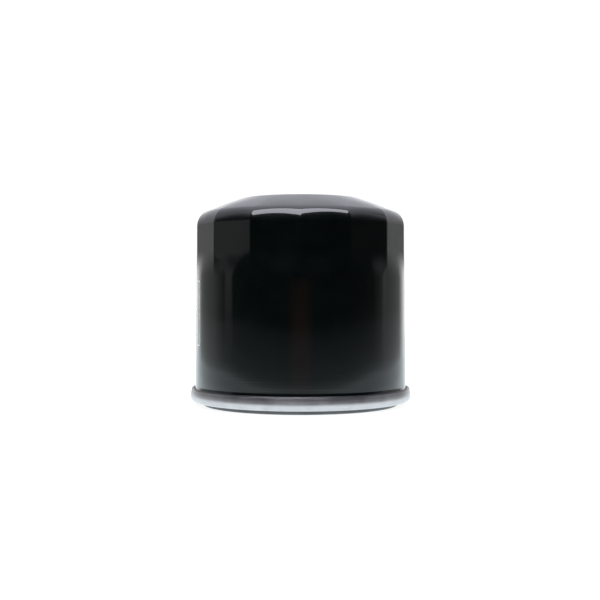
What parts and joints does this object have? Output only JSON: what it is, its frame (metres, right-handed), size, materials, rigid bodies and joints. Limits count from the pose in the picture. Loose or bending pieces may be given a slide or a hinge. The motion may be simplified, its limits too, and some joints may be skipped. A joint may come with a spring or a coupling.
{
  "type": "oil filter",
  "caption": "Spin-on oil filter: a black pressed can with wrench flats and a rolled seam, a gasket, a threaded base plate and a pleated element with its valves",
  "frame": {"origin": "centre of the gasket's sealing face, on the filter's axis", "axes": "+Z from the gasket towards the domed end; a pair of wrench flats faces +X and -X; a corner between two flats faces -Y"},
  "size_m": [0.069, 0.069, 0.0645],
  "materials": {
    "gloss_black_paint": "smooth gloss paint, lightly dusty",
    "white_print": "thin printed lines",
    "plated_steel": "tin-plated sheet, satin",
    "plain_steel": "pressed sheet steel, oiled",
    "spring_steel": "drawn wire",
    "black_rubber": "moulded, slightly glossy",
    "nitrile_rubber": "moulded, matt",
    "seam_compound": "dried sealing compound",
    "adhesive": "cured plastisol",
    "filter_paper": "resin-treated pleated paper"
  },
  "bodies": {
    "housing": {"can": "gloss_black_paint", "seam_cover": "plated_steel", "seam_sealant": "seam_compound", "gasket": "black_rubber", "base_plate": "plain_steel", "anti_drainback_collar": "nitrile_rubber", "element_spring": "spring_steel"},
    "drainback_flap": {"anti_drainback_flap": "nitrile_rubber"},
    "element": {"lower_end_cap": "plain_steel", "lower_potting": "adhesive", "pleated_media": "filter_paper", "pleat_seam_clip": "plain_steel", "center_tube": "plain_steel", "upper_potting": "adhesive", "upper_end_cap": "plain_steel", "bypass_seat": "plain_steel", "bypass_cage": "plain_steel", "bypass_spring": "spring_steel"},
    "bypass_valve": {"bypass_poppet": "plain_steel", "bypass_seal": "nitrile_rubber"}
  },
  "joints": [
    {"name": "anti_drainback_lift", "type": "slide", "parent": "housing", "child": "drainback_flap", "axis": [0, 0, 1], "range_m": [0, 0.0015], "stiffness_N_per_m": 200, "springref_m": -0.001},
    {"name": "element_float", "type": "slide", "parent": "housing", "child": "element", "axis": [0, 0, 1], "range_m": [0, 0.0012], "stiffness_N_per_m": 4000, "springref_m": -0.005, "deforming": ["element_spring"]},
    {"name": "bypass_open", "type": "slide", "parent": "element", "child": "bypass_valve", "axis": [0, 0, -1], "range_m": [0, 0.0025], "stiffness_N_per_m": 1000, "springref_m": -0.008, "deforming": ["bypass_spring"]}
  ]
}
